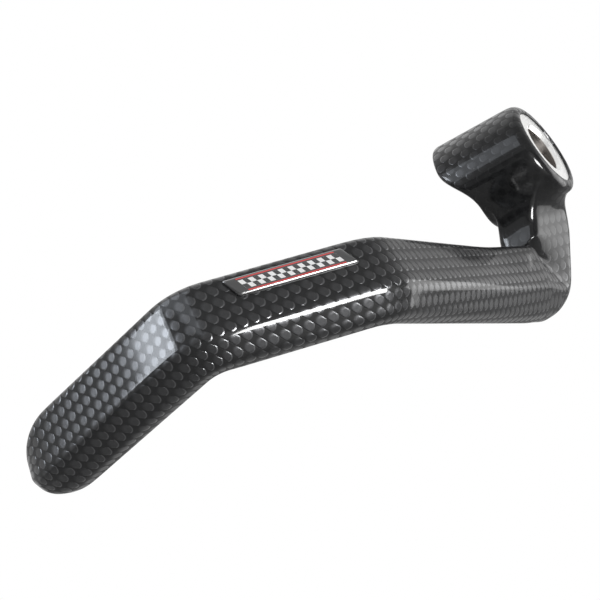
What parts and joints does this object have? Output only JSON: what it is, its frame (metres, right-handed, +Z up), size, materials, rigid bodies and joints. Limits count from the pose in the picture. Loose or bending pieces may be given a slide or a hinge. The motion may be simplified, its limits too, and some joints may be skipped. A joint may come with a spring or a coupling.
{
  "type": "motorbike brake lever guard",
  "caption": "Curved carbon-fibre guard arm on a round bar-end hub, which shields a motorbike brake lever.",
  "frame": {"origin": "on the bar-end bore's axis, 13.5 mm from the hub's inner end", "axes": "+X along the bore, away from the handlebar; -Y forward along the arm; +Z up, square to both"},
  "size_m": [0.1124, 0.1375, 0.0607],
  "materials": {
    "lacquered_carbon": "plain-weave carbon-fibre composite under gloss clear lacquer",
    "machined_aluminium": "bright machined",
    "label_resin": "clear-domed gloss"
  },
  "bodies": {
    "root": {"carbon_guard": "lacquered_carbon", "bar_end_insert": "machined_aluminium", "domed_label": "label_resin"}
  },
  "joints": []
}
